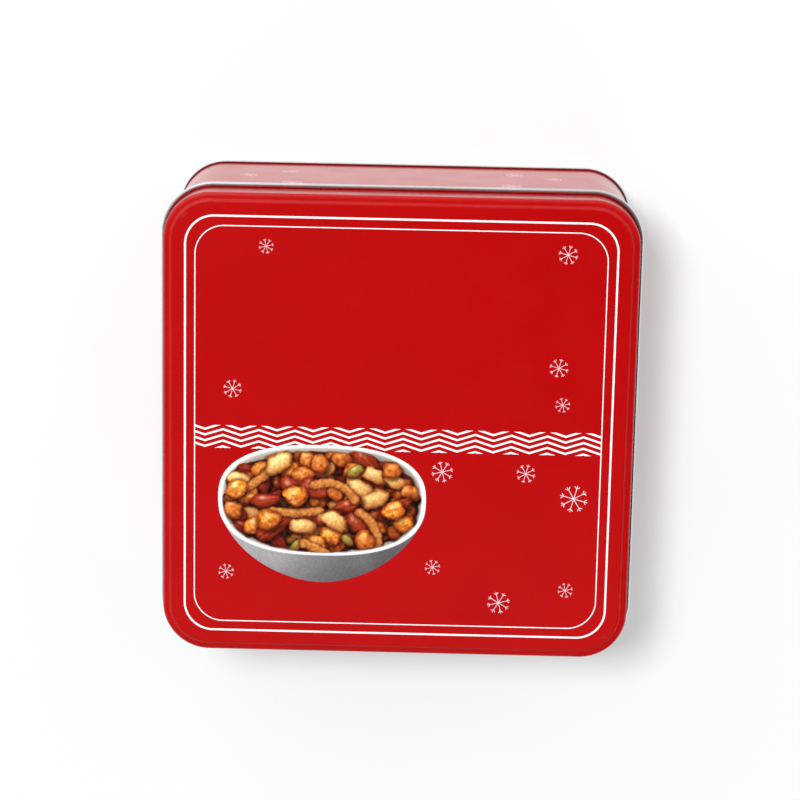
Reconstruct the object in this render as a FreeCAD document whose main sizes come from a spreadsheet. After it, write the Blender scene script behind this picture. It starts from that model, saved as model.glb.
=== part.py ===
"""Square slip-lid tin, drawn from 0.25 mm tinplate.

Three pressed pieces: the lid, the body wall (one strip locked to itself along a
side seam) and the base, which is double-seamed to the wall.  The tin stands on
its base seam, +Z is up, the origin is the middle of its footprint, and the lock
seam is in the middle of the -Y wall.
"""
import FreeCAD, Part
import os
import math

import Sketcher

doc = FreeCAD.newDocument("square_tin")

# ---------------------------------------------------------------- dimensions
# name, value in mm (or degrees), what it is
SIZES = [
    ("sheet", 0.25, "thickness of the tinplate"),
    ("wall_half", 97.45, "centre plane to the outer face of the body wall"),
    ("wall_round", 19.15, "corner radius of the outer face of the body wall"),
    ("tin_height", 88.0, "floor to the raised panel of the lid"),
    ("slip", 0.30, "air between lid and body, all round and on top"),
    ("lid_deep", 17.6, "raised panel to the underside of the lid curl"),
    ("lid_bead", 1.125, "outer radius of the lid curl"),
    ("lid_stop", 128.0, "angle at which the lid curl ends"),
    ("shoulder", 1.75, "outer radius between ledge and skirt of the lid"),
    ("step_rise", 1.2, "height of the raised panel over the ledge"),
    ("step_run", 1.8, "width of the slope up to the raised panel"),
    ("panel_half", 94.0, "centre plane to the flat of the raised panel"),
    ("rim_bead", 1.2, "outer radius of the inward curl on the body wall"),
    ("rim_stop", 305.0, "angle at which the body curl ends"),
    ("fold_gap", 0.08, "air between the folded layers of a seam"),
    ("seam_high", 3.0, "height of the double seam at the base"),
    ("hook_end", 0.25, "distance a seam hook stops short of its fold"),
    ("foot_bend", 0.55, "outer radius at the foot of the double seam"),
    ("base_lift", 3.9, "floor to the underside of the base panel rim"),
    ("base_bend", 1.0, "outer radius between chuck wall and base panel"),
    ("bead_half", 86.0, "centre plane to the start of the base panel step"),
    ("bead_rise", 0.8, "height of the step in the base panel"),
    ("bead_run", 1.6, "width of the step in the base panel"),
    ("lock_reach", 1.5, "middle of the lock seam to the centre of each fold"),
    ("lock_end", 1.25, "middle of the lock seam to the end of each hook"),
    ("lock_jog", 3.2, "middle of the lock seam to where the strip turns in"),
    ("lock_low", 5.2, "floor to the foot of the lock seam"),
    ("lock_high", 83.4, "floor to the top of the lock seam"),
]

table = doc.addObject("Spreadsheet::Sheet", "Dim")
for row, (alias, value, meaning) in enumerate(SIZES, start=1):
    table.set("A%d" % row, meaning)
    table.set("B%d" % row, str(value))
    table.setAlias("B%d" % row, alias)
doc.recompute()


class Size:
    """A length kept twice: as the text of an expression and as its number."""

    def __init__(self, text, number):
        self.text = text
        self.number = number

    def _join(self, other, sign, number):
        return Size("(%s %s %s)" % (self.text, sign, other.text), number)

    def __add__(self, other):
        other = as_size(other)
        return self._join(other, "+", self.number + other.number)

    def __sub__(self, other):
        other = as_size(other)
        return self._join(other, "-", self.number - other.number)

    def __mul__(self, other):
        other = as_size(other)
        return self._join(other, "*", self.number * other.number)

    def __truediv__(self, other):
        other = as_size(other)
        return self._join(other, "/", self.number / other.number)


def as_size(value):
    return value if isinstance(value, Size) else Size("%g" % value, float(value))


def cosine(angle):
    return Size("cos(%s)" % angle.text, math.cos(math.radians(angle.number)))


def sine(angle):
    return Size("sin(%s)" % angle.text, math.sin(math.radians(angle.number)))


d = {alias: Size("Dim." + alias, value) for alias, value, meaning in SIZES}
zero = as_size(0)
t = d["sheet"]
gap = d["fold_gap"]
wall = d["wall_half"]
top = d["tin_height"]


# -------------------------------------------------------------------- helpers
def new_body(label):
    body = doc.addObject("PartDesign::Body", label)
    body.Label = label
    return body


def origin_plane(body, role):
    return [item for item in body.Origin.OriginFeatures if item.Role == role][0]


def new_sketch(body, name, role):
    sketch = body.newObject("Sketcher::SketchObject", name)
    sketch.AttachmentSupport = (origin_plane(body, role), [""])
    sketch.MapMode = "FlatFace"
    return sketch


def bind(sketch, constraint, size):
    index = sketch.addConstraint(constraint)
    sketch.setExpression("Constraints[%d]" % index, size.text)


def pin(sketch, item, end, size, across):
    """Holds one end of an edge at a signed distance from the sketch origin."""
    kind = "DistanceX" if across else "DistanceY"
    if abs(size.number) < 1e-9:
        axis = -2 if across else -1
        sketch.addConstraint(Sketcher.Constraint("PointOnObject", item, end, axis))
    elif size.number > 0:
        bind(sketch, Sketcher.Constraint(kind, -1, 1, item, end, size.number), size)
    else:
        back = zero - size
        bind(sketch, Sketcher.Constraint(kind, item, end, -1, 1, back.number), back)


def arc_through(start, end, radius, turn):
    """The shorter arc from start to end; turn is +1 for anticlockwise."""
    chord = end - start
    half = chord.Length / 2.0
    rise = math.sqrt(max(radius * radius - half * half, 0.0))
    side = FreeCAD.Vector(-chord.y, chord.x, 0).normalize()
    centre = (start + end) * 0.5 + side * (rise * turn)
    first = math.atan2(start.y - centre.y, start.x - centre.x)
    last = math.atan2(end.y - centre.y, end.x - centre.x)
    if turn < 0:
        first, last = last, first
    circle = Part.Circle(centre, FreeCAD.Vector(0, 0, 1), radius)
    return Part.ArcOfCircle(circle, first, last)


def outline(sketch, corners):
    """Closed outline.  Each corner is (across, up) for a straight edge to the
    next corner, or (across, up, radius, turn) for an arc to it."""
    points = [FreeCAD.Vector(c[0].number, c[1].number, 0) for c in corners]
    count = len(corners)
    items = []
    for index, corner in enumerate(corners):
        start = points[index]
        end = points[(index + 1) % count]
        if len(corner) == 2:
            item = sketch.addGeometry(Part.LineSegment(start, end), False)
            items.append((item, 1, 2))
        else:
            radius, turn = corner[2], corner[3]
            arc = arc_through(start, end, radius.number, turn)
            item = sketch.addGeometry(arc, False)
            items.append((item, 1, 2) if turn > 0 else (item, 2, 1))
    for index in range(count):
        this = items[index]
        after = items[(index + 1) % count]
        joined = Sketcher.Constraint("Coincident", this[0], this[2], after[0], after[1])
        sketch.addConstraint(joined)
    for index, corner in enumerate(corners):
        item, start, _ = items[index]
        pin(sketch, item, start, corner[0], True)
        pin(sketch, item, start, corner[1], False)
        if len(corner) == 4:
            bind(sketch, Sketcher.Constraint("Radius", item, corner[2].number), corner[2])


def round_square(sketch, half, radius):
    """Rounded square about the origin, starting in the middle of the +X side."""
    flat = half - radius
    low_half = zero - half
    low_flat = zero - flat
    outline(sketch, [
        (half, zero),
        (half, flat, radius, 1),
        (flat, half),
        (low_flat, half, radius, 1),
        (low_half, flat),
        (low_half, low_flat, radius, 1),
        (low_flat, low_half),
        (flat, low_half, radius, 1),
        (half, low_flat),
    ])


def ring(body, corners):
    """Sweeps a section, drawn in the XZ plane, round the rounded square."""
    path = new_sketch(body, "Path_" + body.Label, "XY_Plane")
    round_square(path, wall, d["wall_round"])
    section = new_sketch(body, "Section_" + body.Label, "XZ_Plane")
    outline(section, corners)
    doc.recompute()
    sweep = body.newObject("PartDesign::AdditivePipe", "Ring_" + body.Label)
    sweep.Profile = (section, [""])
    sweep.Spine = (path, ["Edge%d" % (n + 1) for n in range(path.GeometryCount)])
    sweep.Mode = "Standard"
    doc.recompute()
    return sweep


def plate(body, name, half, bottom):
    """Flat rounded-square panel one sheet thick."""
    sketch = new_sketch(body, "Outline_" + name, "XY_Plane")
    sketch.setExpression(".AttachmentOffset.Base.z", bottom.text)
    round_square(sketch, half, d["wall_round"] - (wall - half))
    pad = body.newObject("PartDesign::Pad", name)
    pad.Profile = sketch
    pad.setExpression("Length", t.text)
    doc.recompute()
    return pad


def s_bend(run, rise):
    """Radius of two equal arcs that climb `rise` over `run`."""
    return (run * run + rise * rise) / (rise * 4)


# ------------------------------------------------------------------------ lid
# Raised panel, slope, narrow ledge, shoulder, skirt, and a curl turned outward
# so that the bare inside of the sheet shows.
lid = new_body("lid")
skirt_in = wall + d["slip"]
skirt_out = skirt_in + t
ledge_top = top - d["step_rise"]
ledge_in = d["panel_half"] + d["step_run"]
ledge_out = skirt_out - d["shoulder"]
bend = s_bend(d["step_run"], d["step_rise"])
slope_x = d["panel_half"] + d["step_run"] / 2
slope_z = top - d["step_rise"] / 2
lean_x = d["step_run"] / (bend * 2) * t
lean_z = (as_size(1) - d["step_rise"] / (bend * 2)) * t
bead = d["lid_bead"]
bead_in = bead - t
bead_x = skirt_in + bead
bead_z = top - d["lid_deep"] + bead
stop_cos = cosine(d["lid_stop"])
stop_sin = sine(d["lid_stop"])

ring(lid, [
    (d["panel_half"], top, bend, -1),
    (slope_x, slope_z, bend, 1),
    (ledge_in, ledge_top),
    (ledge_out, ledge_top, d["shoulder"], -1),
    (skirt_out, ledge_top - d["shoulder"]),
    (skirt_out, bead_z, bead_in, 1),
    (bead_x, bead_z - bead_in, bead_in, 1),
    (bead_x + bead_in, bead_z, bead_in, 1),
    (bead_x, bead_z + bead_in, bead_in, 1),
    (bead_x + bead_in * stop_cos, bead_z + bead_in * stop_sin),
    (bead_x + bead * stop_cos, bead_z + bead * stop_sin, bead, -1),
    (bead_x, bead_z + bead, bead, -1),
    (bead_x + bead, bead_z, bead, -1),
    (bead_x, bead_z - bead, bead, -1),
    (skirt_in, bead_z),
    (skirt_in, ledge_top - d["shoulder"], d["shoulder"] - t, 1),
    (ledge_out, ledge_top - t),
    (ledge_in, ledge_top - t, bend + t, -1),
    (slope_x - lean_x, slope_z - lean_z, bend - t, 1),
    (d["panel_half"], top - t),
])
plate(lid, "Panel_lid", d["panel_half"], top - t)

# ------------------------------------------------------------------ body wall
# One strip: inward curl at the top, flanged and folded up at the foot to hook
# into the base.
body_wall = new_body("body_wall")
wall_in = wall - t
rim = d["rim_bead"]
rim_in = rim - t
rim_x = wall - rim
rim_z = ledge_top - t - d["slip"] - rim
end_cos = cosine(d["rim_stop"])
end_sin = sine(d["rim_stop"])

fold_in = t / 2 + gap
fold_out = fold_in + t
cover_in = wall + gap
cover_out = cover_in + t
hook_in = cover_out + gap
hook_out = hook_in + t
seam_in = hook_out + gap
seam_out = seam_in + t
fold_x = wall + fold_in
fold_z = t + gap + fold_out
seam_fold_x = cover_out + fold_in
seam_fold_z = d["seam_high"] - fold_out

ring(body_wall, [
    (wall, rim_z, rim, 1),
    (rim_x, rim_z + rim, rim, 1),
    (rim_x - rim, rim_z, rim, 1),
    (rim_x, rim_z - rim, rim, 1),
    (rim_x + rim * end_cos, rim_z + rim * end_sin),
    (rim_x + rim_in * end_cos, rim_z + rim_in * end_sin, rim_in, -1),
    (rim_x, rim_z - rim_in, rim_in, -1),
    (rim_x - rim_in, rim_z, rim_in, -1),
    (rim_x, rim_z + rim_in, rim_in, -1),
    (wall_in, rim_z),
    (wall_in, fold_z, fold_out, 1),
    (fold_x, fold_z - fold_out, fold_out, 1),
    (hook_out, fold_z),
    (hook_out, seam_fold_z - d["hook_end"]),
    (hook_in, seam_fold_z - d["hook_end"]),
    (hook_in, fold_z, fold_in, -1),
    (fold_x, fold_z - fold_in, fold_in, -1),
    (wall, fold_z),
])

# The strip is parted along the lock seam: a narrow slit over its full height,
# and a wide slot where the two hooks are folded into each other.
layer = t + gap
reach = d["lock_reach"]
fold_side = zero - reach - fold_out
turned_in = fold_side - gap * 3
outside = zero - wall


def inward(depth):
    """Y of a point that lies `depth` inside the outer face of the -Y wall."""
    return outside + depth


def cut_strip(name, left, right, low, high):
    """Removes a window of the -Y wall, `low` to `high` above the floor."""
    sketch = new_sketch(body_wall, "Outline_" + name, "XZ_Plane")
    outline(sketch, [(left, low), (right, low), (right, high), (left, high)])
    before = body_wall.Shape.Volume
    pocket = body_wall.newObject("PartDesign::Pocket", name)
    pocket.Profile = sketch
    pocket.Type = "ThroughAll"
    pocket.Reversed = True
    doc.recompute()
    if pocket.Shape.Volume > before - 0.01:
        raise RuntimeError(name + " cut nothing")
    return pocket


def stand_strip(name, corners):
    """Stands a folded layer of the lock seam up along the -Y wall."""
    sketch = new_sketch(body_wall, "Outline_" + name, "XY_Plane")
    sketch.setExpression(".AttachmentOffset.Base.z", d["lock_low"].text)
    outline(sketch, corners)
    pad = body_wall.newObject("PartDesign::Pad", name)
    pad.Profile = sketch
    pad.setExpression("Length", (d["lock_high"] - d["lock_low"]).text)
    doc.recompute()
    return pad


cut_strip("Slit_body_wall", fold_side - gap, fold_side, as_size(-1), top)
cut_strip("Slot_body_wall", zero - d["lock_jog"], zero - reach, d["lock_low"], d["lock_high"])

# right-hand edge: the wall itself, folded inward and back under as layer three
stand_strip("Hook_right", [
    (zero - reach, outside),
    (zero - reach, inward(t), fold_in, -1),
    (zero - reach, inward(layer * 2)),
    (d["lock_end"], inward(layer * 2)),
    (d["lock_end"], inward(layer * 2 + t)),
    (zero - reach, inward(layer * 2 + t), fold_out, 1),
])

# left-hand edge: stepped inward, run along as layer four, folded out as layer two
stand_strip("Hook_left", [
    (zero - d["lock_jog"], outside),
    (turned_in, inward(layer * 3)),
    (reach, inward(layer * 3), fold_in, 1),
    (reach, inward(layer + t)),
    (zero - d["lock_end"], inward(layer + t)),
    (zero - d["lock_end"], inward(layer)),
    (reach, inward(layer), fold_out, 1),
    (reach, inward(layer * 3 + t)),
    (turned_in, inward(layer * 3 + t)),
    (zero - d["lock_jog"], inward(t)),
])

# ----------------------------------------------------------------------- base
# Recessed panel with a shallow step, chuck wall down the inside of the body,
# round the foot, up the outside and hooked down over the body flange.
base = new_body("base")
chuck_out = wall_in - gap
chuck_in = chuck_out - t
foot = d["foot_bend"]
foot_in = foot - t
lift = d["base_lift"]
turn_in = d["base_bend"]
turn_out = turn_in + t
bead_bend = s_bend(d["bead_run"], d["bead_rise"])
flat_in = d["bead_half"] - d["bead_run"]
half_x = d["bead_half"] - d["bead_run"] / 2
half_z = lift + d["bead_rise"] / 2
tilt_x = d["bead_run"] / (bead_bend * 2) * t
tilt_z = (as_size(1) - d["bead_rise"] / (bead_bend * 2)) * t

ring(base, [
    (flat_in, lift + d["bead_rise"], bead_bend, -1),
    (half_x, half_z, bead_bend, 1),
    (d["bead_half"], lift),
    (chuck_in - turn_in, lift, turn_in, -1),
    (chuck_in, lift - turn_in),
    (chuck_in, foot, foot, 1),
    (chuck_in + foot, zero),
    (seam_out - foot, zero, foot, 1),
    (seam_out, foot),
    (seam_out, seam_fold_z, fold_out, 1),
    (seam_fold_x, seam_fold_z + fold_out, fold_out, 1),
    (cover_in, seam_fold_z),
    (cover_in, fold_z + d["hook_end"] - fold_in),
    (cover_out, fold_z + d["hook_end"] - fold_in),
    (cover_out, seam_fold_z, fold_in, -1),
    (seam_fold_x, seam_fold_z + fold_in, fold_in, -1),
    (seam_in, seam_fold_z),
    (seam_in, foot, foot_in, -1),
    (seam_in - foot_in, t),
    (chuck_out + foot_in, t, foot_in, -1),
    (chuck_out, foot),
    (chuck_out, lift - turn_in, turn_out, 1),
    (chuck_in - turn_in, lift + t),
    (d["bead_half"], lift + t, bead_bend - t, -1),
    (half_x + tilt_x, half_z + tilt_z, bead_bend + t, 1),
    (flat_in, lift + d["bead_rise"] + t),
])
plate(base, "Panel_base", flat_in, lift + d["bead_rise"])

# --------------------------------------------------------------- check, export
doc.recompute()
for item in doc.Objects:
    trouble = [word for word in item.State if word in ("Invalid", "Error")]
    if trouble:
        raise RuntimeError("%s did not recompute: %s" % (item.Name, trouble))

os.makedirs("parts", exist_ok=True)
for body in (lid, body_wall, base):
    shape = body.Shape
    if shape.isNull() or not shape.isValid() or len(shape.Solids) != 1:
        raise RuntimeError("%s is not one sound solid" % body.Label)
    box = shape.BoundBox
    print("%s: %.1f mm3, x %.2f %.2f, y %.2f %.2f, z %.2f %.2f, %d faces" % (
        body.Label, shape.Volume, box.XMin, box.XMax, box.YMin, box.YMax,
        box.ZMin, box.ZMax, len(shape.Faces)))
    shape.exportStep("parts/%s.step" % body.Label)
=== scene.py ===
"""Looks of the square slip-lid cookie tin.

The three tinplate pieces are rebuilt from the CAD sections with fine, smooth
bends, printed outside and bare inside.  The print itself is real geometry too:
thin closed films of ink lying on the metal.
"""
import math

import bpy
import numpy as np
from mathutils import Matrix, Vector


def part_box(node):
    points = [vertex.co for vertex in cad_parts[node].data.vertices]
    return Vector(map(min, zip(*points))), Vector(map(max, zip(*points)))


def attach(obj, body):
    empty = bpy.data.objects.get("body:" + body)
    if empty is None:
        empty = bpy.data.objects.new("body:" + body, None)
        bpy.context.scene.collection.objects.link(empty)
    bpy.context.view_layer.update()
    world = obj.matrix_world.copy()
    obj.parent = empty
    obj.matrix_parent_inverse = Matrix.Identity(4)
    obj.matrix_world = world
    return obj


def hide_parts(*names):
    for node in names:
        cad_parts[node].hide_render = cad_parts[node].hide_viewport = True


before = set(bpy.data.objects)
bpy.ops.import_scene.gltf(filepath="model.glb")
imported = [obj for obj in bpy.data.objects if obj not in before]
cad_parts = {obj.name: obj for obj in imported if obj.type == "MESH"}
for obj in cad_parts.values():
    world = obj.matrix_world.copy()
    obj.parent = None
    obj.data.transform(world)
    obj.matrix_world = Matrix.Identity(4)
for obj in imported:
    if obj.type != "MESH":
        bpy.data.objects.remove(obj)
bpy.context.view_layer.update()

MM = 0.001

# ------------------------------------------------------------------ dimensions
# Everything follows from the boxes of the three CAD nodes and a few sizes of
# the sheet-metal work.
LID_LOW, LID_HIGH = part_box("lid")
WALL_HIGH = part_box("body_wall")[1]
BASE_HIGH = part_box("base")[1]

SHEET = 0.25 * MM
SLIP = 0.30 * MM
FOLD_GAP = 0.08 * MM
LID_BEAD = 1.125 * MM
SHOULDER = 1.75 * MM
STEP_RISE = 1.2 * MM
STEP_RUN = 1.8 * MM
RIM_BEAD = 1.2 * MM
FOOT_BEND = 0.55 * MM
BASE_LIFT = 3.9 * MM
BASE_BEND = 1.0 * MM
BEAD_RISE = 0.8 * MM
BEAD_RUN = 1.6 * MM

TOP = LID_HIGH.z
SKIRT_IN = LID_HIGH.x - 2 * LID_BEAD
SKIRT_OUT = SKIRT_IN + SHEET
WALL = SKIRT_IN - SLIP
CORNER = 19.15 * MM
CORE = WALL - CORNER
LEDGE = TOP - STEP_RISE
PANEL = 94.0 * MM
BASE_BEAD = 86.0 * MM
SEAM_OUT = BASE_HIGH.x
SEAM_HIGH = 3.0 * MM

# the lock seam up the -Y wall: its folds, the ends of its layers, where its left
# edge runs in, its lower and upper end, and the unprinted metal beside it
LOCK_REACH = 1.5 * MM
LOCK_END = 1.25 * MM
LOCK_JOG = 3.2 * MM
LOCK_LOW = 5.2 * MM
LOCK_HIGH = 83.4 * MM
BARE_MARGIN = 2.2 * MM

CORNER_STEPS = 28
SIDE_STEPS = 12
INK = 0.02 * MM
INK_ROOT = 0.01 * MM


# ------------------------------------------------------------------- materials
# colours of the inks, linear: as printed, and where they are thin or rubbed
RED = (0.450, 0.0025, 0.0031)
RED_DEEP = (0.424, 0.0022, 0.0026)
RED_WORN = (0.56, 0.060, 0.055)
WHITE = (0.92, 0.89, 0.91)
WHITE_THIN = (0.86, 0.78, 0.81)
PINK_WHITE = (0.84, 0.72, 0.78)
PINK_THIN = (0.74, 0.50, 0.58)
TIN_DULL = (0.68, 0.69, 0.70)
TIN_BRIGHT = (0.80, 0.80, 0.80)

VARNISH_IOR = 1.43
# scales of the noise in the varnish: broad waves, smears, and orange peel
WAVE_SCALE = 9.0
SMEAR_SCALE = 60.0
PEEL_SCALE = 900.0
FINE_BUMP = 0.0001
VARNISH_BUMP = 0.0006
INK_BUMP_STRENGTH = 0.05

# the colour sockets of Blender's mix node
COLOUR_A, COLOUR_B, COLOUR_OUT = 6, 7, 2


class Nodes:
    """Small helper round a material's or world's node tree."""

    def __init__(self, owner):
        owner.use_nodes = True
        self.tree = owner.node_tree
        self.tree.nodes.clear()

    def add(self, kind, inputs=None, **settings):
        node = self.tree.nodes.new(kind)
        for name, value in settings.items():
            setattr(node, name, value)
        for name, value in (inputs or {}).items():
            self.put(node.inputs[name], value)
        return node

    def put(self, socket, value):
        """Link another node's output to the socket, or set its plain value."""
        if isinstance(value, bpy.types.NodeSocket):
            self.tree.links.new(value, socket)
        else:
            socket.default_value = value

    def math(self, operation, first, second):
        node = self.add("ShaderNodeMath", operation=operation)
        self.put(node.inputs[0], first)
        self.put(node.inputs[1], second)
        return node.outputs[0]

    def times(self, first, second):
        return self.math("MULTIPLY", first, second)

    def mix(self, factor, first, second, blend="MIX"):
        """The first colour blended towards the second by factor."""
        node = self.add("ShaderNodeMix", {"Factor": factor}, data_type="RGBA", blend_type=blend)
        self.put(node.inputs[COLOUR_A], first)
        self.put(node.inputs[COLOUR_B], second)
        return node.outputs[COLOUR_OUT]

    def ramp(self, factor, low, high, start=0.0, end=1.0):
        """A colour that runs from low to high while factor runs start to end."""
        node = self.add("ShaderNodeValToRGB", {"Fac": factor})
        node.color_ramp.elements[0].position = start
        node.color_ramp.elements[0].color = low
        node.color_ramp.elements[1].position = end
        node.color_ramp.elements[1].color = high
        return node.outputs["Color"]

    def span(self, value, start, end, low, high):
        """A number that runs from low to high while value runs start to end."""
        node = self.add("ShaderNodeMapRange", {
            "Value": value, "From Min": start, "From Max": end,
            "To Min": low, "To Max": high})
        return node.outputs["Result"]

    def noise(self, where, scale, detail=2.0, rough=0.5):
        node = self.add("ShaderNodeTexNoise", {
            "Vector": where, "Scale": scale, "Detail": detail, "Roughness": rough})
        return node.outputs["Fac"]


def shade(value):
    return (value[0], value[1], value[2], 1.0)


def grey(level):
    return shade((level, level, level))


def finish_material(nodes, shader, height, strength, depth=FINE_BUMP):
    """Raise bumps of that height on the shader and send it to the output."""
    bump = nodes.add("ShaderNodeBump", {
        "Height": height, "Strength": strength, "Distance": depth})
    nodes.put(shader.inputs["Normal"], bump.outputs["Normal"])
    nodes.add("ShaderNodeOutputMaterial", {"Surface": shader.outputs["BSDF"]})


def printed_red():
    """Opaque red litho ink on tinplate under gloss varnish."""
    material = bpy.data.materials.new("printed_red")
    nodes = Nodes(material)
    place = nodes.add("ShaderNodeTexCoord").outputs["Object"]
    cloud = nodes.noise(place, 22.0, 3.0)
    grain = nodes.noise(place, 2600.0, 2.0)
    colour = nodes.ramp(cloud, shade(RED_DEEP), shade(RED), 0.35, 0.65)
    speck = nodes.ramp(grain, grey(0.86), grey(1.0), 0.3, 0.55)
    printed = nodes.mix(1.0, colour, speck, "MULTIPLY")
    # the varnish is rubbed duller and the ink a little thinner where the sheet bends outward
    point = nodes.add("ShaderNodeNewGeometry").outputs["Pointiness"]
    outward = nodes.span(point, 0.505, 0.56, 0.0, 1.0)
    patchy = nodes.span(nodes.noise(place, 340.0, 4.0), 0.45, 0.7, 0.0, 1.0)
    rub = nodes.times(outward, patchy)
    smear = nodes.span(nodes.noise(place, SMEAR_SCALE, 4.0), 0.35, 0.7, 0.13, 0.2)
    shader = nodes.add("ShaderNodeBsdfPrincipled", {
        "Base Color": nodes.mix(nodes.times(rub, 0.45), printed, shade(RED_WORN)),
        "Roughness": nodes.math("ADD", smear, nodes.times(rub, 0.12)),
        "IOR": VARNISH_IOR})
    wave = nodes.noise(place, WAVE_SCALE, 1.0)
    peel = nodes.noise(place, PEEL_SCALE, 2.0)
    height = nodes.math("ADD", wave, nodes.times(peel, 0.006))
    finish_material(nodes, shader, height, 0.35, VARNISH_BUMP)
    return material


def bare_tinplate():
    """Bright tinned steel with a faint rolling grain."""
    material = bpy.data.materials.new("bare_tinplate")
    nodes = Nodes(material)
    place = nodes.add("ShaderNodeTexCoord").outputs["Object"]
    stretch = nodes.add("ShaderNodeMapping", {"Vector": place, "Scale": (1.0, 24.0, 24.0)})
    grain = nodes.noise(stretch.outputs["Vector"], 90.0, 5.0)
    cloud = nodes.noise(place, 30.0, 3.0)
    shader = nodes.add("ShaderNodeBsdfPrincipled", {
        "Base Color": nodes.ramp(cloud, shade(TIN_DULL), shade(TIN_BRIGHT), 0.3, 0.7),
        "Metallic": 1.0,
        "Roughness": nodes.span(grain, 0.3, 0.7, 0.16, 0.3)})
    finish_material(nodes, shader, grain, 0.06)
    return material


def ink_material(name, low, high):
    """White ink under the same varnish, a little uneven where red shows through."""
    material = bpy.data.materials.new(name)
    nodes = Nodes(material)
    place = nodes.add("ShaderNodeTexCoord").outputs["Object"]
    patch = nodes.noise(place, 700.0, 3.0)
    shader = nodes.add("ShaderNodeBsdfPrincipled", {
        "Base Color": nodes.ramp(patch, shade(low), shade(high), 0.3, 0.6),
        "Roughness": nodes.span(patch, 0.3, 0.7, 0.16, 0.24),
        "IOR": VARNISH_IOR})
    finish_material(nodes, shader, nodes.noise(place, PEEL_SCALE, 2.0), INK_BUMP_STRENGTH)
    return material


def picture_material():
    """Four-colour print: the mesh's own colours with a fine screen over them."""
    material = bpy.data.materials.new("picture_ink")
    nodes = Nodes(material)
    place = nodes.add("ShaderNodeTexCoord").outputs["Object"]
    colour = nodes.add("ShaderNodeVertexColor", layer_name="picture").outputs["Color"]
    screen = nodes.ramp(nodes.noise(place, 1800.0, 2.0), grey(0.88), grey(1.0), 0.3, 0.6)
    smear = nodes.noise(place, SMEAR_SCALE, 4.0)
    shader = nodes.add("ShaderNodeBsdfPrincipled", {
        "Base Color": nodes.mix(1.0, colour, screen, "MULTIPLY"),
        "Roughness": nodes.span(smear, 0.35, 0.7, 0.14, 0.2),
        "IOR": VARNISH_IOR})
    finish_material(nodes, shader, nodes.noise(place, PEEL_SCALE, 2.0), INK_BUMP_STRENGTH)
    return material


red_print = printed_red()
tinplate = bare_tinplate()
white_ink = ink_material("white_ink", WHITE_THIN, WHITE)
flake_ink = ink_material("flake_ink", PINK_THIN, PINK_WHITE)
picture_ink = picture_material()


# ---------------------------------------------------------------- mesh helpers
# degrees past which a fold stays sharp
SHARP_FOLD = 35.0
# how near two points count as one, and how exactly cuts are placed
SAME_POINT = 1e-7
SLACK = 1e-9
DECIMALS = 9


def mesh_object(name, verts, faces, materials, slots=None):
    """A mesh piece, smooth but for its folds; slots gives each face's material."""
    mesh = bpy.data.meshes.new(name)
    mesh.from_pydata([tuple(v) for v in verts], [], faces)
    for material in materials:
        mesh.materials.append(material)
    if slots is not None:
        mesh.polygons.foreach_set("material_index", slots)
    mesh.polygons.foreach_set("use_smooth", [True] * len(mesh.polygons))
    mesh.set_sharp_from_angle(angle=math.radians(SHARP_FOLD))
    mesh.validate()
    mesh.update()
    piece = bpy.data.objects.new(name, mesh)
    bpy.context.scene.collection.objects.link(piece)
    return piece


class Strip:
    """The printed face of a sheet in section: points (x, z) with the direction
    the face looks, the bare face lying one sheet thickness behind it."""

    def __init__(self):
        self.points = []

    def to(self, x, z, look_x, look_z):
        self.points.append((x, z, look_x, look_z))
        return self

    def arc(self, x, z, radius, start, end, facing=1.0, step=11.0):
        """An arc in degrees; facing -1 looks towards its centre."""
        count = max(2, int(abs(end - start) / step + 0.999))
        for index in range(count + 1):
            angle = math.radians(start + (end - start) * index / count)
            across, up = math.cos(angle), math.sin(angle)
            self.to(x + radius * across, z + radius * up, facing * across, facing * up)
        return self

    def follows_look(self):
        """True if quads run along the path first already look the right way."""
        (x, z, look_x, look_z), (next_x, next_z) = self.points[0], self.points[1][:2]
        return (next_z - z) * look_x - (next_x - x) * look_z > 0

    def arrays(self):
        """The printed face and the bare face as arrays of (x, z)."""
        points = np.array(self.points)
        keep = [0]
        for index in range(1, len(points)):
            if np.hypot(*(points[index, :2] - points[keep[-1], :2])) > SAME_POINT:
                keep.append(index)
        points = points[keep]
        return points[:, :2], points[:, :2] - SHEET * points[:, 2:]


def round_path(gap=None):
    """Stations round the tin as (core x, core y, outward x, outward y), from the
    middle of the -Y side anticlockwise.  gap=(left, right) opens the path."""
    stations = []
    sides = ((0, -1), (1, 0), (0, 1), (-1, 0), (0, -1))
    for index, (out_x, out_y) in enumerate(sides):
        along_x, along_y = -out_y, out_x
        first = 0.0 if index == 0 else -CORE
        last = 0.0 if index == 4 else CORE
        steps = SIDE_STEPS // 2 if index in (0, 4) else SIDE_STEPS
        marks = list(np.linspace(first, last, steps + 1))
        if gap and index == 0:
            marks = [gap[1], -LOCK_REACH, BARE_MARGIN] + marks[1:]
        if gap and index == 4:
            marks = marks[:-1] + [-LOCK_JOG - BARE_MARGIN, -LOCK_JOG, gap[0]]
        for mark in marks:
            stations.append((
                CORE * out_x + along_x * mark, CORE * out_y + along_y * mark, out_x, out_y))
        if index < 4:
            turn = math.atan2(out_y, out_x)
            centre_x = CORE * (out_x + along_x)
            centre_y = CORE * (out_y + along_y)
            for step in range(1, CORNER_STEPS):
                angle = turn + math.pi / 2 * step / CORNER_STEPS
                stations.append((centre_x, centre_y, math.cos(angle), math.sin(angle)))
    if not gap:
        stations.pop()
    return np.array(stations)


def swept(stations, section):
    """Grid of points: every section point at every station."""
    reach = section[:, 0] - CORE
    grid = np.empty((len(stations), len(section), 3))
    grid[:, :, 0] = stations[:, 0, None] + reach[None, :] * stations[:, 2, None]
    grid[:, :, 1] = stations[:, 1, None] + reach[None, :] * stations[:, 3, None]
    grid[:, :, 2] = section[None, :, 1]
    return grid


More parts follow.
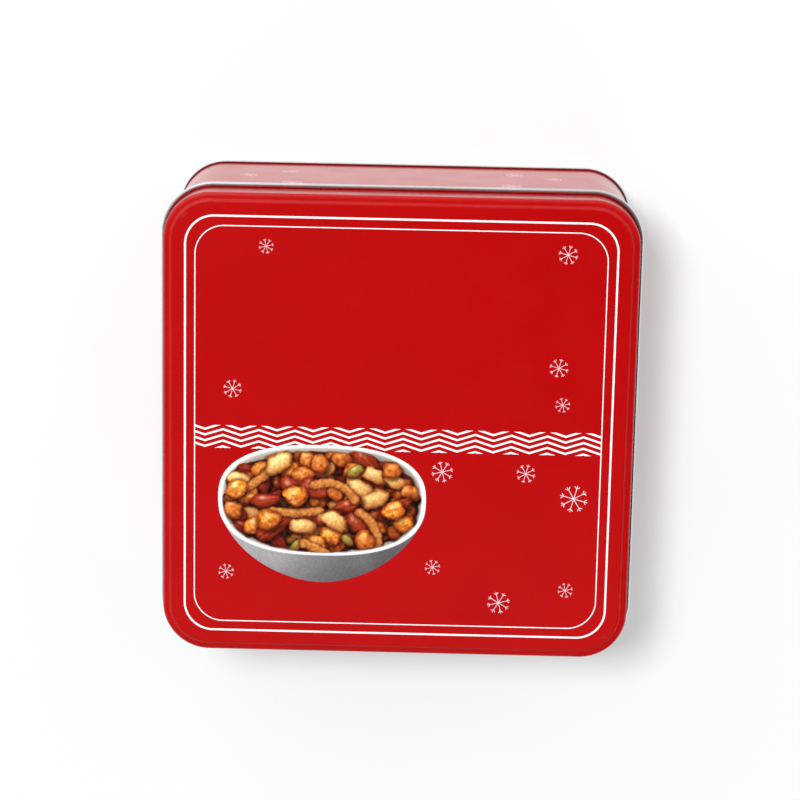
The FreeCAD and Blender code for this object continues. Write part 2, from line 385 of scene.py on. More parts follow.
def boundary(faces):
    """Edges that only one face uses, each in the direction that face runs."""
    edges = {}
    for face in faces:
        for one, two in zip(face, face[1:] + face[:1]):
            if (two, one) in edges:
                del edges[(two, one)]
            else:
                edges[(one, two)] = True
    return list(edges)


def sheet_object(name, strip, gap=None, panel=False, missing=None, bare=None):
    """A closed sheet-metal shell.  panel fills the first ring with a flat plate,
    missing(point) tells which cells are cut away, bare(point) which are unprinted."""
    stations = round_path(gap)
    face, back = strip.arrays()
    front, rear = swept(stations, face), swept(stations, back)
    rows, columns = front.shape[:2]
    verts = np.concatenate([front.reshape(-1, 3), rear.reshape(-1, 3)])
    shift = rows * columns
    skin, slots = [], []
    for row in range(rows if gap is None else rows - 1):
        after = (row + 1) % rows
        for column in range(columns - 1):
            corners = [
                row * columns + column, after * columns + column,
                after * columns + column + 1, row * columns + column + 1]
            middle = verts[corners].mean(axis=0)
            if missing and missing(middle):
                continue
            skin.append(corners if strip.follows_look() else corners[::-1])
            slots.append(1 if bare and bare(middle) else 0)
    if panel:
        ring = [row * columns for row in range(rows)]
        skin.append(ring[::-1] if strip.follows_look() else ring)
        slots.append(1 if bare and bare(verts[ring].mean(axis=0)) else 0)
    faces = list(skin)
    faces += [[corner + shift for corner in reversed(item)] for item in skin]
    faces += [[two, one, one + shift, two + shift] for one, two in boundary(skin)]
    slots += [1] * (len(faces) - len(slots))
    used = sorted({corner for item in faces for corner in item})
    number = {old: new for new, old in enumerate(used)}
    faces = [[number[corner] for corner in item] for item in faces]
    return mesh_object(name, verts[used], faces, [red_print, tinplate], slots)


class Drawing:
    """Flat faces collected from several shapes before they become one film."""

    def __init__(self):
        self.verts = []
        self.faces = []

    def add(self, verts, faces):
        start = len(self.verts)
        self.verts += [tuple(v) for v in verts]
        self.faces += [[corner + start for corner in face] for face in faces]

    def film(self, name, material, place):
        """Closed film of ink; place(x, y, h) puts a point of height h on the metal."""
        count = len(self.verts)
        solid = [place(x, y, INK) for x, y in self.verts]
        solid += [place(x, y, -INK_ROOT) for x, y in self.verts]
        under = [[corner + count for corner in reversed(face)] for face in self.faces]
        rim = [[two, one, one + count, two + count] for one, two in boundary(self.faces)]
        return mesh_object(name, solid, self.faces + under + rim, [material])


def rounded_ring(half, radius, width, steps=24):
    """Faces of a line of that width round a rounded square."""
    core = half - radius
    verts = []
    for side in range(4):
        centre_x = core * (1 if side in (0, 3) else -1)
        centre_y = core * (1 if side in (0, 1) else -1)
        for step in range(steps + 1):
            angle = math.pi / 2 * (side + step / steps)
            for reach in (radius - width / 2, radius + width / 2):
                verts.append((
                    centre_x + reach * math.cos(angle), centre_y + reach * math.sin(angle)))
    count = len(verts) // 2
    faces = []
    for index in range(count):
        after = (index + 1) % count
        faces.append([index * 2, index * 2 + 1, after * 2 + 1, after * 2])
    return verts, faces


def snowflake(centre_x, centre_y, radius, turn):
    """Eight plain arms, each ending in two prongs and a stub."""
    stem, prong, stub = 0.027 * radius, 0.034 * radius, 0.024 * radius
    fork, reach, spread = 0.77 * radius, 0.23 * radius, math.radians(52)
    arms = 8
    hub = stem / math.sin(math.pi / arms)
    verts, faces = [], []

    def point(along, across, angle):
        verts.append((
            centre_x + along * math.cos(angle) - across * math.sin(angle),
            centre_y + along * math.sin(angle) + across * math.cos(angle)))
        return len(verts) - 1

    hub_ring = []
    for arm in range(arms):
        hub_ring.append(point(hub, 0.0, turn + math.tau * (arm - 0.5) / arms))
    for arm in range(arms):
        angle = turn + math.tau * arm / arms
        right, left = hub_ring[arm], hub_ring[(arm + 1) % arms]
        low = point(fork - stem, -stem, angle)
        low_left = point(fork - stem, stem, angle)
        faces.append([right, low, low_left, left])
        cos, sin = math.cos(spread), math.sin(spread)
        sides = []
        for hand, anchor in ((-1, low), (1, low_left)):
            tip_out = point(
                fork + reach * cos - prong * sin, hand * (reach * sin + prong * cos), angle)
            tip_in = point(
                fork + reach * cos + prong * sin, hand * (reach * sin - prong * cos), angle)
            root = point(fork + stem * 1.3, hand * stub, angle)
            prong_face = [anchor, tip_out, tip_in, root]
            faces.append(prong_face if hand < 0 else prong_face[::-1])
            sides.append(root)
        end_right = point(radius, -stub, angle)
        end_left = point(radius, stub, angle)
        faces.append([low, sides[0], sides[1], low_left])
        faces.append([sides[0], end_right, end_left, sides[1]])
    faces.append(hub_ring)
    return verts, faces


def zigzag_band(half, top, bottom, period, rise, stroke, lines, valley, first_low):
    """Zigzag lines stacked between two level cuts, each one rise under the last.
    valley is the x of a low point, first_low its depth under the top cut."""
    drawing = Drawing()
    for line in range(lines):
        low = top - first_low - line * rise

        def centre(x):
            phase = ((x - valley) / period) % 1.0
            return low + rise * (1 - abs(2 * phase - 1))

        marks = {-half, half}
        first = math.floor((-half - valley) / period) - 1
        for turn in range(first, first + int(2 * half / period) + 4):
            marks.add(round(valley + turn * period, DECIMALS))
            marks.add(round(valley + (turn + 0.5) * period, DECIMALS))
            for level in (top, bottom):
                for edge in (-stroke / 2, stroke / 2):
                    share = (level - edge - low) / rise
                    if 0 < share < 1:
                        for cut in (turn + share / 2, turn + 1 - share / 2):
                            marks.add(round(valley + cut * period, DECIMALS))
        marks = sorted(mark for mark in marks if -half <= mark <= half)
        columns = []
        for x in marks:
            upper = min(centre(x) + stroke / 2, top)
            lower = max(centre(x) - stroke / 2, bottom)
            columns.append((x, lower, upper))
        verts, faces, previous = [], [], None
        for x, lower, upper in columns:
            if upper < lower - SLACK:
                previous = None
                continue
            if upper - lower < SAME_POINT:
                verts.append((x, lower))
                this = [len(verts) - 1]
            else:
                verts += [(x, lower), (x, upper)]
                this = [len(verts) - 2, len(verts) - 1]
            if previous and len(previous) + len(this) > 2:
                faces.append(previous[:1] + this[:1] + this[1:] + previous[1:])
            previous = this
        drawing.add(verts, faces)
    return drawing.verts, drawing.faces


# ------------------------------------------------------------ the three pieces
def s_radius(run, rise):
    return (run * run + rise * rise) / (4 * rise)


def lid_strip():
    bend = s_radius(STEP_RUN, STEP_RISE)
    lean = math.degrees(math.asin(STEP_RUN / 2 / bend))
    bead_x = SKIRT_IN + LID_BEAD
    bead_z = LID_LOW.z + LID_BEAD
    strip = Strip()
    strip.to(PANEL - 2 * MM, TOP, 0, 1).to(PANEL - 0.3 * MM, TOP, 0, 1)
    strip.arc(PANEL, TOP - bend, bend, 90, 90 - lean)
    strip.arc(PANEL + STEP_RUN, LEDGE + bend, bend, 270 - lean, 270, -1)
    strip.to(SKIRT_OUT - SHOULDER, LEDGE, 0, 1)
    strip.arc(SKIRT_OUT - SHOULDER, LEDGE - SHOULDER, SHOULDER, 90, 0, step=8)
    strip.to(SKIRT_OUT, LEDGE - SHOULDER - 0.4 * MM, 1, 0)
    strip.to(SKIRT_OUT, bead_z + 0.4 * MM, 1, 0)
    strip.arc(bead_x, bead_z, LID_BEAD - SHEET, 180, 488, -1, step=18)
    return strip


def wall_strip():
    rim_z = WALL_HIGH.z - RIM_BEAD
    cover_out = WALL + FOLD_GAP + SHEET
    hook_in = cover_out + FOLD_GAP
    fold_in = SHEET / 2 + FOLD_GAP
    fold_out = fold_in + SHEET
    fold_z = SHEET + FOLD_GAP + fold_out
    strip = Strip()
    strip.arc(WALL - RIM_BEAD, rim_z, RIM_BEAD, 305, 0, 1, step=15)
    strip.to(WALL, LOCK_HIGH, 1, 0)
    for level in np.linspace(LOCK_HIGH, LOCK_LOW, 9)[1:]:
        strip.to(WALL, level, 1, 0)
    strip.to(WALL, fold_z + 0.3 * MM, 1, 0)
    strip.arc(WALL + fold_in, fold_z, fold_in, 180, 360, -1, step=30)
    strip.to(hook_in, SEAM_HIGH - fold_out - 0.25 * MM, -1, 0)
    return strip


def base_strip():
    bend = s_radius(BEAD_RUN, BEAD_RISE)
    lean = math.degrees(math.asin(BEAD_RUN / 2 / bend))
    wall_in = WALL - SHEET
    chuck_in = wall_in - FOLD_GAP - SHEET
    fold_in = SHEET / 2 + FOLD_GAP
    fold_out = fold_in + SHEET
    cover_out = WALL + FOLD_GAP + SHEET
    fold_z = SHEET + FOLD_GAP + fold_out
    seam_fold_z = SEAM_HIGH - fold_out
    strip = Strip()
    strip.to(BASE_BEAD - BEAD_RUN - 2 * MM, BASE_LIFT + BEAD_RISE, 0, -1)
    strip.arc(BASE_BEAD - BEAD_RUN, BASE_LIFT + BEAD_RISE - bend, bend, 90, 90 - lean, -1)
    strip.arc(BASE_BEAD, BASE_LIFT + bend, bend, 270 - lean, 270, 1)
    strip.to(BASE_BEAD + 0.5 * MM, BASE_LIFT, 0, -1)
    strip.to(chuck_in - BASE_BEND - 0.5 * MM, BASE_LIFT, 0, -1)
    strip.arc(chuck_in - BASE_BEND, BASE_LIFT - BASE_BEND, BASE_BEND, 90, 0, -1)
    strip.arc(chuck_in + FOOT_BEND, FOOT_BEND, FOOT_BEND, 180, 270, 1)
    strip.arc(SEAM_OUT - FOOT_BEND, FOOT_BEND, FOOT_BEND, 270, 360, 1)
    strip.to(SEAM_OUT, FOOT_BEND + 0.2 * MM, 1, 0)
    strip.arc(cover_out + fold_in, seam_fold_z, fold_out, 0, 180, 1)
    strip.to(cover_out - SHEET, fold_z + 0.25 * MM, -1, 0)
    return strip


def lock_hook(name, corners):
    """A folded layer of the lock seam: a flat outline stood up along the -Y wall."""
    low = [(x, y, LOCK_LOW) for x, y in corners]
    high = [(x, y, LOCK_HIGH) for x, y in corners]
    count = len(corners)
    faces = [list(range(count))[::-1], list(range(count, 2 * count))]
    for index in range(count):
        after = (index + 1) % count
        faces.append([index, after, after + count, index + count])
    return mesh_object(name, low + high, faces, [tinplate])


def bend(x, y, radius, start, end, steps=12):
    points = []
    for index in range(steps + 1):
        angle = math.radians(start + (end - start) * index / steps)
        points.append((x + radius * math.cos(angle), y + radius * math.sin(angle)))
    return points


def lock_hooks():
    """Right edge folded in as layer three; left edge run in as layer four and
    folded out as layer two."""
    fold_in = SHEET / 2 + FOLD_GAP
    fold_out = fold_in + SHEET
    layer = SHEET + FOLD_GAP
    outside = -WALL
    turned_in = -LOCK_REACH - fold_out - 3 * FOLD_GAP
    right = bend(-LOCK_REACH, outside + layer + SHEET / 2, fold_out, 270, 90)
    right += [(LOCK_END, outside + 2 * layer + SHEET), (LOCK_END, outside + 2 * layer)]
    right += bend(-LOCK_REACH, outside + layer + SHEET / 2, fold_in, 90, 270)
    left = [(-LOCK_JOG, outside), (turned_in, outside + 3 * layer)]
    left += bend(LOCK_REACH, outside + 2 * layer + SHEET / 2, fold_in, 90, -90)
    left += [(-LOCK_END, outside + layer + SHEET), (-LOCK_END, outside + layer)]
    left += bend(LOCK_REACH, outside + 2 * layer + SHEET / 2, fold_out, -90, 90)
    left += [(turned_in, outside + 3 * layer + SHEET), (-LOCK_JOG, outside + SHEET)]
    return lock_hook("lock_hook_right", right[::-1]), lock_hook("lock_hook_left", left)


def cut_away(point):
    near_seam = point[1] < -CORE - CORNER / 2 and LOCK_LOW < point[2] < LOCK_HIGH
    return near_seam and -LOCK_JOG < point[0] < -LOCK_REACH


def beside_seam(point):
    near_seam = point[1] < -CORE - CORNER / 2
    return near_seam and -LOCK_JOG - BARE_MARGIN < point[0] < BARE_MARGIN


def always(point):
    return True


slit_right = -LOCK_REACH - SHEET * 1.5 - FOLD_GAP
lid_shell = sheet_object("lid_shell", lid_strip(), panel=True)
wall_shell = sheet_object(
    "wall_shell", wall_strip(), gap=(slit_right - FOLD_GAP, slit_right),
    missing=cut_away, bare=beside_seam)
base_shell = sheet_object("base_shell", base_strip(), panel=True, bare=always)
hook_right, hook_left = lock_hooks()

for piece, body, slot in (
        (lid_shell, "lid", "lid_tinplate"),
        (wall_shell, "tin_body", "wall_tinplate"),
        (base_shell, "tin_body", "base_tinplate"),
        (hook_right, "tin_body", "wall_tinplate"),
        (hook_left, "tin_body", "wall_tinplate")):
    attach(piece, body)
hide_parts("lid")
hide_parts("body_wall")
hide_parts("base")


# -------------------------------------------------------------------- artwork
def on_lid(x, y, height):
    return (x, y, TOP + height)


def on_wall(out_x, out_y):
    """Placer for the wall that looks along (out_x, out_y): x anticlockwise, y up."""
    def place(x, y, height):
        reach = WALL + height
        return (out_x * reach - out_y * x, out_y * reach + out_x * x, y)
    return place


# lines of the border: from the middle to the line and its width, in millimetres
BORDER_LINES = ((88.65, 0.84), (84.6, 0.46))
BORDER_CORNER = 12.0 * MM

border = Drawing()
for half, width in BORDER_LINES:
    border.add(*rounded_ring(half * MM, BORDER_CORNER, width * MM))
border_ink = border.film("ink_border", white_ink, on_lid)

band = Drawing()
band.add(*zigzag_band(
    half=84.3 * MM, top=0.5 * MM, bottom=-9.25 * MM, period=15.0 * MM,
    rise=2.45 * MM, stroke=0.9 * MM, lines=5, valley=-80.3 * MM, first_low=1.72 * MM))
band_ink = band.film("ink_zigzag", white_ink, on_lid)

# snowflakes on the lid: x, y and diameter in millimetres, lean in degrees
LID_FLAKES = (
    (-55.4, 76.4, 6.3, 14), (68.2, 75.4, 8.2, 30), (-68.9, 16.2, 7.9, 30),
    (65.9, 27.9, 8.1, 30), (68.0, 12.2, 6.4, 14), (18.8, -17.5, 9.2, 14),
    (53.6, -17.5, 8.1, 30), (73.9, -27.9, 11.8, 30), (-71.2, -62.9, 6.7, 14),
    (15.6, -59.1, 6.7, 14), (43.7, -74.0, 9.7, 14), (71.7, -67.9, 6.6, 14))
# snowflakes on each wall: millimetres anticlockwise from its middle, height, diameter
WALL_FLAKES = (
    (66.3, 35.7, 8.0), (49.3, 23.6, 7.0), (47.0, 53.8, 9.0),
    (-47.1, 21.2, 8.0), (-63.8, 31.3, 7.0), (-45.0, 51.0, 8.5))
WALL_LEAN = 20
# the directions that the four walls look in
WALL_SIDES = ((0, -1), (1, 0), (0, 1), (-1, 0))

flakes = Drawing()
for x, y, size, lean in LID_FLAKES:
    flakes.add(*snowflake(x * MM, y * MM, size / 2 * MM, math.radians(lean)))
lid_flakes = flakes.film("ink_lid_flakes", flake_ink, on_lid)

inks = [(border_ink, "lid"), (band_ink, "lid"), (lid_flakes, "lid")]
for side, (out_x, out_y) in enumerate(WALL_SIDES):
    drawing = Drawing()
    for x, z, size in WALL_FLAKES:
        drawing.add(*snowflake(x * MM, z * MM, size / 2 * MM, math.radians(WALL_LEAN)))
    ink = drawing.film("ink_wall_flakes_%d" % side, flake_ink, on_wall(out_x, out_y))
    inks.append((ink, "tin_body"))


# --------------------------------------------------- the picture of the nut mix
# The picture is painted in millimetres from the middle of the bowl, in display
# colours between 0 and 1, and laid as colours of the picture's own mesh points.
BOWL_X, BOWL_Y = -31.2, -30.5
# half width, then reach from the middle: rim upwards, rim downwards, foot
BOWL_HALF, BOWL_RISE, BOWL_LIP, BOWL_DROP = 43.5, 23.4, 24.4, 36.2
LIP_POWER, FOOT_POWER, HEAP_POWER = 2.5, 1.85, 2.4
HEAP_HALF, HEAP_RISE, HEAP_LOW = 40.6, 21.2, 0.9
PICTURE_ROWS, PICTURE_COLUMNS = 216, 300
# how far the rows of the grid stay from the bowl's very top and foot
GRID_MARGIN = 0.015

PEANUT, ALMOND, GLAZED, ROUND, SEED = range(5)
# for each kind of nut: its colour, length, width and shine
NUTS = (
    ((238, 188, 112), 11.5, 6.6, 0.34), ((170, 62, 36), 14.5, 6.8, 0.5),
    ((226, 134, 42), 9.5, 8.2, 0.7), ((210, 118, 50), 8.6, 7.4, 0.26),
    ((154, 130, 54), 7.6, 4.2, 0.4))
STICK = (204, 126, 58)
STICKS, STICKS_APART = 6, 17.0
STICK_PARTS, STICK_STEP, STICK_WIDTH, STICK_BACK = 5, 4.0, 3.7, 9.5
# layers of the heap, deepest first: how many, how far apart, size and how light
LAYERS = (
    (150, 2.6, 0.7, 0.36), (90, 4.4, 0.8, 0.66), (40, 7.2, 0.98, 0.96), (11, 13.0, 1.04, 1.05))
SHARES = (0.27, 0.16, 0.24, 0.21, 0.12)
# tries for each nut's place, and how far out in the heap its middle may lie
TRIES, HEAP_INSIDE = 60, 0.93

# seeds of the draw and of each noise
DRAW = 7
PORCELAIN_CLOUD, PORCELAIN_GRAIN, HEAP_EDGE = 3, 4, 5
NUT_SKIN, ALMOND_STREAK, GLINT_BREAK, LUMPS, SUGAR = 11, 23, 29, 31, 37
OUTLINE, OUTLINE_FINE, STICK_OUTLINE, STICK_DOTS, STICK_SKIN = 41, 43, 53, 59, 61
NOISE_CELLS = 64

# how much red, green and blue fall off in shade, so that dark sides turn warm
WARM_SHADE = np.array((0.66, 1.2, 1.5))
WARM_SHADOW = np.array((0.84, 1.0, 1.1))
# light stays above this, because a negative number has no such power
LEAST_LIGHT = 0.02
GLINT_COLOUR = (1.0, 0.95, 0.84)
DOT_COLOUR = np.array((0.98, 0.86, 0.62))
LIP_COLOUR = (0.99, 0.98, 0.98)
DEEP_COLOUR = (0.24, 0.10, 0.04)


def smooth(value, low, high):
    """0 up to low, 1 from high on, and a soft step between."""
    share = np.clip((value - low) / (high - low), 0.0, 1.0)
    return share * share * (3 - 2 * share)


def oval(height, half, rise, power):
    """Half width of a superellipse at a height above its middle."""
    share = np.clip(1 - np.abs(height / rise) ** power, 0.0, 1.0)
    return half * share ** (1 / power)


def speckle(x, y, size, seed):
    """Smooth seeded noise between 0 and 1 with spots of about that size."""
    source = np.random.default_rng(seed)
    cells = source.random((NOISE_CELLS, NOISE_CELLS))
    across, up = x / size, y / size
    column, row = np.floor(across).astype(int), np.floor(up).astype(int)
    share_x, share_y = smooth(across - column, 0, 1), smooth(up - row, 0, 1)
    levels = []
    for step in (0, 1):
        line = (row + step) % NOISE_CELLS
        left = cells[line, column % NOISE_CELLS]
        right = cells[line, (column + 1) % NOISE_CELLS]
        levels.append(left * (1 - share_x) + right * share_x)
    return levels[0] * (1 - share_y) + levels[1] * share_y


def oval_reach(x, y, half, rise, power):
    """0 in the middle of a superellipse, 1 along its edge."""
    return (np.abs(x / half) ** power + np.abs(y / rise) ** power) ** (1 / power)


def heap_reach(x, y):
    return oval_reach(x, y + HEAP_LOW, HEAP_HALF, HEAP_RISE, HEAP_POWER)


class Canvas:
    """Colours on a grid of points, painted over and over like a still life.
    where masks what is painted; source is the seeded draw of the nuts."""

    def __init__(self, x, y):
        self.x, self.y = x, y
        self.colour = np.zeros(x.shape + (3,))
        self.source = np.random.default_rng(DRAW)
        self.where = np.ones(x.shape)

    def lay(self, cover, colour):
        cover = (cover * self.where)[..., None]
        self.colour = self.colour * (1 - cover) + np.asarray(colour, float) * cover

    def darken(self, cover, strength):
        warm = strength * WARM_SHADOW
        self.colour *= 1 - warm * (cover * self.where)[..., None]

    def nut(self, kind, x, y, lean, scale, deep):
        """One nut: its shadow, its lit body, and the glint on top."""
        tone, length, width, shine = NUTS[kind]
        length, width = length * scale, width * scale
        turn = math.radians(lean)
        across, up = self.x - x, self.y - y
        warp = 1 + 0.36 * (speckle(self.x + 3 * x, self.y + 5 * y, 2.9, OUTLINE) - 0.5)
        warp = warp + 0.16 * (speckle(self.x + y, self.y + x, 1.2, OUTLINE_FINE) - 0.5)
        along = (across * math.cos(turn) + up * math.sin(turn)) / (length / 2) * warp
        aside = (-across * math.sin(turn) + up * math.cos(turn)) / (width / 2) * warp
        if kind == ALMOND:
            aside = aside * (1 + 0.32 * along)
        square = 2.5 if kind == PEANUT else 2.0
        radius = oval_reach(along, aside, 1.0, 1.0, square)
        soft = 0.4 / min(length, width)
        # the shadow lies a little to the right of the nut and below it
        down, over = across - 0.3, up + 0.6
        shade_along = (down * math.cos(turn) + over * math.sin(turn)) / (length / 2)
        shade_aside = (-down * math.sin(turn) + over * math.cos(turn)) / (width / 2)
        self.darken(smooth(np.hypot(shade_along, shade_aside), 1.4, 0.9), 0.62)
        dome = np.sqrt(np.clip(1 - radius * radius, 0.0, 1.0))
        tilt_x = along * math.cos(turn) - aside * math.sin(turn)
        tilt_y = along * math.sin(turn) + aside * math.cos(turn)
        light = 0.68 + 0.34 * dome + 0.36 * (tilt_y * 0.85 - tilt_x * 0.35)
        light = light * (0.88 + 0.24 * speckle(self.x, self.y, 0.7, kind + NUT_SKIN))
        if kind == ALMOND:
            streak = speckle(along * 5 + x, aside * 26, 4.0, ALMOND_STREAK)
            light = light * (0.62 + 0.64 * streak)
        if kind in (GLAZED, ROUND):
            light = light * (0.68 + 0.6 * speckle(self.x + x, self.y + y, 1.3, LUMPS))
        light = light * (1 - 0.34 * smooth(radius, 0.66, 1.0))
        light = np.maximum(light * deep, LEAST_LIGHT)[..., None]
        painted = np.asarray(tone, float) / 255.0 * light ** WARM_SHADE
        self.lay(smooth(radius, 1 + soft, 1 - soft), painted)
        glint = smooth(np.hypot(tilt_x + 0.2, tilt_y - 0.4), 0.45, 0.05)
        broken = smooth(speckle(self.x + x, self.y, 1.1, GLINT_BREAK), 0.25, 0.6)
        glint = glint * (0.35 + 0.65 * broken)
        if kind == GLAZED:
            spots = smooth(speckle(self.x, self.y, 0.8, SUGAR), 0.62, 0.85)
            glint = np.maximum(glint, 0.55 * spots * dome)
        self.lay(glint * shine * deep ** 2 * (radius < 1), GLINT_COLOUR)

    def stick(self, points, width):
        """A rough baked stick along a line of points."""
        nearest = np.full(self.x.shape, np.inf)
        side = np.zeros(self.x.shape)
        for (x0, y0), (x1, y1) in zip(points, points[1:]):
            run_x, run_y = x1 - x0, y1 - y0
            length = run_x ** 2 + run_y ** 2
            share = ((self.x - x0) * run_x + (self.y - y0) * run_y) / length
            share = np.clip(share, 0.0, 1.0)
            gap_x, gap_y = self.x - x0 - share * run_x, self.y - y0 - share * run_y
            gap = np.hypot(gap_x, gap_y)
            side = np.where(gap < nearest, gap_y, side)
            nearest = np.minimum(nearest, gap)
        half = width / 2 * (0.85 + 0.36 * speckle(self.x, self.y, 1.7, STICK_OUTLINE))
        radius = nearest / half
        self.darken(smooth(radius, 1.7, 0.9), 0.5)
        light = 0.66 + 0.3 * np.sqrt(np.clip(1 - radius ** 2, 0, 1)) + 0.22 * side / half
        light = light * (0.85 + 0.3 * speckle(self.x, self.y, 1.0, STICK_SKIN))
        light = light * (1 - 0.3 * smooth(radius, 0.6, 1.0))
        dots = speckle(self.x, self.y, 0.62, STICK_DOTS)
        dots = 0.24 * smooth(dots, 0.55, 0.8)[..., None]
        tone = np.asarray(STICK, float) / 255.0
        tone = tone * np.maximum(light, LEAST_LIGHT)[..., None] ** WARM_SHADE
        self.lay(smooth(radius, 1.1, 0.92), tone * (1 - dots) + DOT_COLOUR * dots)

    def spots(self, count, apart):
        """Seeded places over the heap, no two nearer than apart, the far ones first."""
        found = []
        for _ in range(TRIES * count):
            x = self.source.uniform(-HEAP_HALF, HEAP_HALF)
            y = self.source.uniform(-HEAP_RISE, HEAP_RISE)
            if heap_reach(x, y) > HEAP_INSIDE or len(found) == count:
                continue
            if all(math.hypot(x - old_x, y - old_y) > apart for old_x, old_y in found):
                found.append((x, y))
        return sorted(found, key=lambda place: -place[1])

    def heap(self):
        """Layer upon layer of nuts, with curved sticks under the top one."""
        for layer, (count, apart, scale, deep) in enumerate(LAYERS):
            if layer == len(LAYERS) - 1:
                self.sticks()
            for x, y in self.spots(count, apart):
                kind = int(self.source.choice(len(NUTS), p=SHARES))
                lean = self.source.uniform(-60, 60)
                size = scale * self.source.uniform(0.86, 1.14)
                self.nut(kind, x, y, lean, size, deep * self.source.uniform(0.9, 1.06))

    def sticks(self):
        for x, y in self.spots(STICKS, STICKS_APART):
            heading = self.source.uniform(-0.7, 0.7)
            curve = self.source.uniform(-0.34, 0.34)
            x -= STICK_BACK
            points = [(x, y)]
            for _ in range(STICK_PARTS):
                x += STICK_STEP * math.cos(heading)
                y += STICK_STEP * math.sin(heading)
                points.append((x, y))
                heading += curve
            self.stick(points, STICK_WIDTH)


def paint_bowl(x, y):
    """Porcelain bowl with the nut mix, x and y in millimetres from its middle."""
    canvas = Canvas(x, y)
    rise = np.where(y > 0, BOWL_RISE, BOWL_LIP)
    rim = oval_reach(x, y, BOWL_HALF, rise, LIP_POWER)
    # outside of the bowl: light at the left and under the lip, grey to the right
    outer = 0.67 - 0.30 * smooth(x, -38, 36) - 0.08 * smooth(y, -24, -36)
    outer = outer + 0.05 * (speckle(x, y, 9.0, PORCELAIN_CLOUD) - 0.5)
    outer = outer + 0.05 * (speckle(x, y, 0.6, PORCELAIN_GRAIN) - 0.5)
    canvas.lay(np.ones(x.shape), np.stack([outer, outer * 0.98, outer * 0.995], axis=-1))
    # white lip, then the inner wall that shows above the nuts
    canvas.lay(smooth(rim, 1.012, 0.99), LIP_COLOUR)
    inner = 0.88 - 0.12 * smooth(x, -10, 36) + 0.06 * smooth(y, 20, 8)
    inner = np.stack([inner, inner, inner * 0.98], axis=-1)
    canvas.lay(smooth(rim, 0.955, 0.925), inner)
    heap = heap_reach(x, y)
    inside = smooth(rim, 0.968, 0.948)
    canvas.where = inside
    canvas.darken(smooth(heap, 1.16, 0.98), 0.34)
    # the dark depth of the heap, and the nuts a little way past its edge
    bumps = 0.07 * (speckle(x, y, 3.4, HEAP_EDGE) - 0.5)
    canvas.where = smooth(heap + bumps, 1.01, 0.97) * inside
    canvas.lay(np.ones(x.shape), DEEP_COLOUR)
    canvas.where = smooth(heap + bumps, 1.06, 1.0) * inside
    canvas.heap()
    return np.clip(canvas.colour, 0.0, 1.0)


def to_linear(colour):
    """Display colours as the linear ones that a mesh carries."""
    return np.where(colour <= 0.04045, colour / 12.92, ((colour + 0.055) / 1.055) ** 2.4)


def picture():
    """The bowl's outline filled with a fine grid whose points carry the colours."""
    turn = np.linspace(1 - GRID_MARGIN, GRID_MARGIN, PICTURE_ROWS + 1) * math.pi
    middle = (BOWL_RISE - BOWL_DROP) / 2
    level = middle + (BOWL_RISE + BOWL_DROP) / 2 * np.cos(turn)
    half = oval(level, BOWL_HALF, np.where(level > 0, BOWL_RISE, BOWL_LIP), LIP_POWER)
    outer = oval(np.minimum(level, 0.0), BOWL_HALF, BOWL_DROP, FOOT_POWER)
    half = np.where(level < 0, np.maximum(half, outer), half)
    share = np.linspace(-1.0, 1.0, PICTURE_COLUMNS + 1)
    x = half[:, None] * share[None, :]
    y = np.repeat(level[:, None], PICTURE_COLUMNS + 1, axis=1)
    colour = to_linear(paint_bowl(x, y))
    wide = PICTURE_COLUMNS + 1
    faces = []
    for row in range(PICTURE_ROWS):
        for column in range(PICTURE_COLUMNS):
            start = row * wide + column
            faces.append([start, start + 1, start + 1 + wide, start + wide])
    edges = dict(boundary(faces))
    loop = [0]
    while edges[loop[-1]] != 0:
        loop.append(edges[loop[-1]])
    flat = np.stack([x.ravel() + BOWL_X, y.ravel() + BOWL_Y], axis=-1) * MM
    count = len(flat)
    verts = [on_lid(px, py, 2 * INK) for px, py in flat]
    verts += [on_lid(*flat[corner], -INK_ROOT) for corner in loop]
    size = len(loop)
    faces.append([count + index for index in reversed(range(size))])
    for index, corner in enumerate(loop):
        after = (index + 1) % size
        faces.append([loop[after], corner, count + index, count + after])
    piece = mesh_object("ink_picture", verts, faces, [picture_ink])
    layer = piece.data.color_attributes.new("picture", "FLOAT_COLOR", "POINT")
    shown = np.ones((len(verts), 4))
    shown[:count, :3] = colour.reshape(-1, 3)
    shown[count:, :3] = colour.reshape(-1, 3)[loop]
    layer.data.foreach_set("color", shown.ravel())
    return piece


inks.append((picture(), "lid"))
for piece, body in inks:
    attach(piece, body)


# ---------------------------------------------------------- floor, light, camera
FLOOR_DULL = (0.53, 0.54, 0.54)
FLOOR_PALE = (0.55, 0.56, 0.56)
FLOOR_GLOW = (0.96, 0.985, 1.0)
FLOOR_HALF, FLOOR_THICK = 4.0, 0.02


def floor_material():
    """Pale paper that glows a little, as an evenly lit backdrop does."""
    material = bpy.data.materials.new("pale_floor")
    nodes = Nodes(material)
    place = nodes.add("ShaderNodeTexCoord").outputs["Object"]
    paper = nodes.noise(place, 3.0, 3.0)
    shader = nodes.add("ShaderNodeBsdfPrincipled", {
        "Base Color": nodes.ramp(paper, shade(FLOOR_DULL), shade(FLOOR_PALE), 0.3, 0.7),
        "Roughness": 0.7,
        "Specular IOR Level": 0.0,
        "Emission Color": shade(FLOOR_GLOW),
        "Emission Strength": 0.34})
    finish_material(nodes, shader, nodes.noise(place, 600.0, 2.0), 0.03)
    return material


def studio_floor():
    half = FLOOR_HALF
    verts = []
    for z in (-FLOOR_THICK, 0.0):
        verts += [(-half, -half, z), (half, -half, z), (half, half, z), (-half, half, z)]
    faces = [[3, 2, 1, 0], [4, 5, 6, 7]]
    for index in range(4):
        after = (index + 1) % 4
        faces.append([index, after, after + 4, index + 4])
    return mesh_object("studio_floor", verts, faces, [floor_material()])


